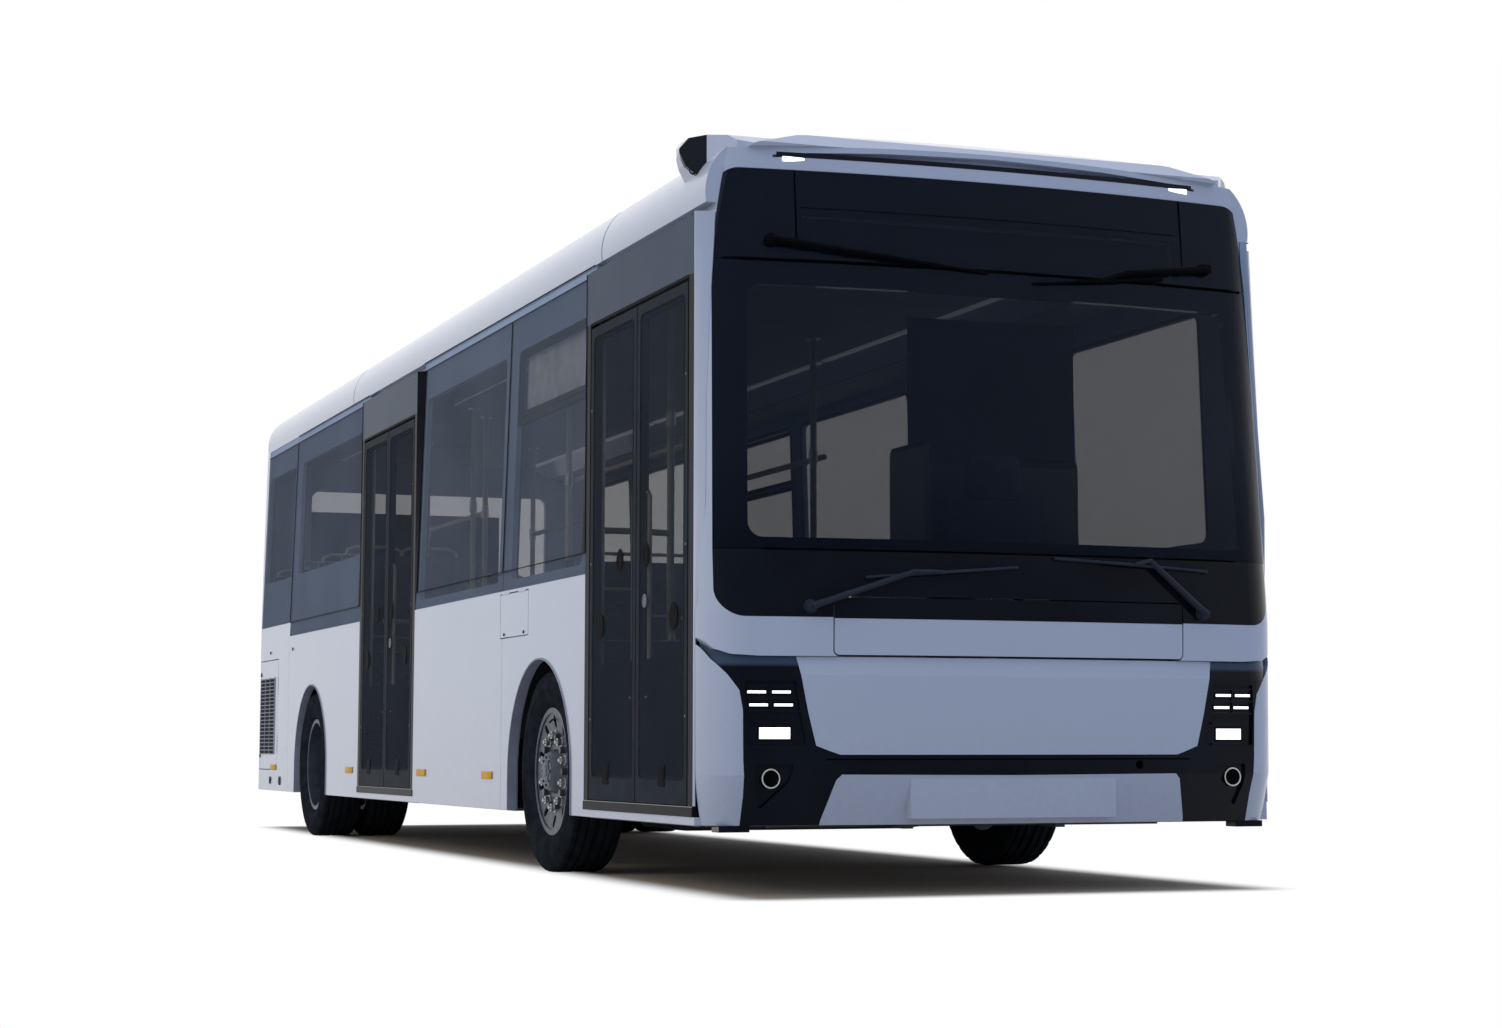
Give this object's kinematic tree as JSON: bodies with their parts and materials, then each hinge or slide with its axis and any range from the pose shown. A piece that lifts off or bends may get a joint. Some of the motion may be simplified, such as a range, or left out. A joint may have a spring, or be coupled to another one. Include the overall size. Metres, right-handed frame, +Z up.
{
  "type": "electric midibus",
  "caption": "Low-entry electric city bus with inward-gliding double doors, twin rear wheels, steered front wheels, hinged flaps and a hollow glazed saloon.",
  "frame": {"origin": "on the ground at the middle of the length and width", "axes": "+Y towards the rear, +X towards the side without doors, +Z up"},
  "size_m": [2.554, 10.2441, 3.098],
  "materials": {
    "white_paint": "gloss pale lavender-white body paint",
    "black_trim": "gloss black trim and ceramic-edged glass surround",
    "grey_trim": "matt dark grey",
    "glass": "grey tinted safety glass",
    "lamp_glass": "clear lamp lens",
    "lamp_red": "red lamp lens",
    "floor_vinyl": "speckled anti-slip floor sheet",
    "chassis_paint": "satin black underbody paint",
    "brushed_steel": "brushed",
    "rubber": "matt black rubber",
    "wheel_steel": "silver-grey wheel paint",
    "tyre": "matt black tyre rubber",
    "seat_fabric": "woven dark blue-grey",
    "pole_paint": "pale ivory handrail coating"
  },
  "bodies": {
    "body": {"air_springs": "rubber", "battery_packs": "chassis_paint", "camera_pods": "black_trim", "chassis": "chassis_paint", "dashboard": "grey_trim", "door_frames": "black_trim", "driver_partition": "grey_trim", "floor": "floor_vinyl", "front_axle": "chassis_paint", "front_bumper": "black_trim", "front_mask": "black_trim", "front_panels": "white_paint", "front_surround": "white_paint", "headlamps": "lamp_glass", "poles": "pole_paint", "rear_axle": "chassis_paint", "rear_bumper": "black_trim", "rear_lamps": "lamp_red", "rear_wall": "white_paint", "roof": "white_paint", "roof_front": "white_paint", "roof_unit": "grey_trim", "seats": "seat_fabric", "side_wall_left": "white_paint", "side_wall_right": "white_paint", "steering_wheel": "black_trim", "traction_motor": "chassis_paint", "wheel_boxes": "floor_vinyl", "window_band_left": "black_trim", "window_band_right": "black_trim", "windows": "glass", "windscreen": "glass", "wipers": "black_trim"},
    "front_flap": {"front_flap": "white_paint"},
    "side_flap": {"side_flap": "white_paint"},
    "service_door": {"service_door": "white_paint"},
    "rear_hatch": {"rear_hatch": "white_paint"},
    "knuckle_right": {"knuckle_right": "chassis_paint"},
    "knuckle_left": {"knuckle_left": "chassis_paint"},
    "front_wheel_right": {"front_tyre_right": "tyre", "front_rim_right": "wheel_steel"},
    "front_wheel_left": {"front_tyre_left": "tyre", "front_rim_left": "wheel_steel"},
    "rear_wheels_right": {"rear_tyres_right": "tyre", "rear_rims_right": "wheel_steel"},
    "rear_wheels_left": {"rear_tyres_left": "tyre", "rear_rims_left": "wheel_steel"},
    "front_door_rear_arm": {"front_door_rear_arm": "brushed_steel"},
    "front_door_rear_leaf": {"front_door_rear_leaf": "black_trim", "front_door_rear_pane": "glass"},
    "front_door_front_arm": {"front_door_front_arm": "brushed_steel"},
    "front_door_front_leaf": {"front_door_front_leaf": "black_trim", "front_door_front_pane": "glass"},
    "rear_door_rear_arm": {"rear_door_rear_arm": "brushed_steel"},
    "rear_door_rear_leaf": {"rear_door_rear_leaf": "black_trim", "rear_door_rear_pane": "glass"},
    "rear_door_front_arm": {"rear_door_front_arm": "brushed_steel"},
    "rear_door_front_leaf": {"rear_door_front_leaf": "black_trim", "rear_door_front_pane": "glass"}
  },
  "joints": [
    {"name": "steer_right", "type": "hinge", "parent": "body", "child": "knuckle_right", "pos_m": [-0.985, -2.61, 0.467], "axis": [0, 0, 1], "range_deg": [-42, 42]},
    {"name": "steer_left", "type": "hinge", "parent": "body", "child": "knuckle_left", "pos_m": [0.985, -2.61, 0.467], "axis": [0, 0, 1], "range_deg": [-42, 42]},
    {"name": "front_wheel_right_spin", "type": "hinge", "parent": "knuckle_right", "child": "front_wheel_right", "pos_m": [-1.105, -2.61, 0.467], "axis": [1, 0, 0], "continuous": true},
    {"name": "front_wheel_left_spin", "type": "hinge", "parent": "knuckle_left", "child": "front_wheel_left", "pos_m": [1.105, -2.61, 0.467], "axis": [1, 0, 0], "continuous": true},
    {"name": "rear_wheels_right_spin", "type": "hinge", "parent": "body", "child": "rear_wheels_right", "pos_m": [-1, 2.965, 0.467], "axis": [1, 0, 0], "continuous": true},
    {"name": "rear_wheels_left_spin", "type": "hinge", "parent": "body", "child": "rear_wheels_left", "pos_m": [1, 2.965, 0.467], "axis": [1, 0, 0], "continuous": true},
    {"name": "front_door_rear_swing", "type": "hinge", "parent": "body", "child": "front_door_rear_arm", "pos_m": [-1.217, -3.39794, 1.4], "axis": [0, 0, 1], "range_deg": [0, 90]},
    {"name": "front_door_rear_turn", "type": "hinge", "parent": "front_door_rear_arm", "child": "front_door_rear_leaf", "pos_m": [-1.217, -3.755, 1.4], "axis": [0, 0, -1], "range_deg": [0, 180]},
    {"name": "front_door_front_swing", "type": "hinge", "parent": "body", "child": "front_door_front_arm", "pos_m": [-1.217, -4.78206, 1.4], "axis": [0, 0, -1], "range_deg": [0, 90]},
    {"name": "front_door_front_turn", "type": "hinge", "parent": "front_door_front_arm", "child": "front_door_front_leaf", "pos_m": [-1.217, -4.425, 1.4], "axis": [0, 0, 1], "range_deg": [0, 180]},
    {"name": "rear_door_rear_swing", "type": "hinge", "parent": "body", "child": "rear_door_rear_arm", "pos_m": [-1.217, 1.40406, 1.4], "axis": [0, 0, 1], "range_deg": [0, 90]},
    {"name": "rear_door_rear_turn", "type": "hinge", "parent": "rear_door_rear_arm", "child": "rear_door_rear_leaf", "pos_m": [-1.217, 1.047, 1.4], "axis": [0, 0, -1], "range_deg": [0, 180]},
    {"name": "rear_door_front_swing", "type": "hinge", "parent": "body", "child": "rear_door_front_arm", "pos_m": [-1.217, 0.01994, 1.4], "axis": [0, 0, -1], "range_deg": [0, 90]},
    {"name": "rear_door_front_turn", "type": "hinge", "parent": "rear_door_front_arm", "child": "rear_door_front_leaf", "pos_m": [-1.217, 0.377, 1.4], "axis": [0, 0, 1], "range_deg": [0, 180]},
    {"name": "front_flap_hinge", "type": "hinge", "parent": "body", "child": "front_flap", "pos_m": [0, -5.08742, 1.164], "axis": [-1, 0, 0], "range_deg": [0, 85]},
    {"name": "side_flap_hinge", "type": "hinge", "parent": "body", "child": "side_flap", "pos_m": [-1.274, -2.15, 1.327], "axis": [0, 1, 0], "range_deg": [0, 100]},
    {"name": "service_door_hinge", "type": "hinge", "parent": "body", "child": "service_door", "pos_m": [-1.274, 4.183, 0.81], "axis": [0, 0, 1], "range_deg": [0, 110]},
    {"name": "rear_hatch_hinge", "type": "hinge", "parent": "body", "child": "rear_hatch", "pos_m": [0, 5.099, 1.417], "axis": [1, 0, 0], "range_deg": [0, 80]}
  ],
  "couplings": [
    {"joint": "steer_left", "follows": "steer_right", "ratio": 1},
    {"joint": "front_door_rear_turn", "follows": "front_door_rear_swing", "ratio": 2},
    {"joint": "front_door_front_turn", "follows": "front_door_front_swing", "ratio": 2},
    {"joint": "rear_door_rear_turn", "follows": "rear_door_rear_swing", "ratio": 2},
    {"joint": "rear_door_front_turn", "follows": "rear_door_front_swing", "ratio": 2}
  ]
}
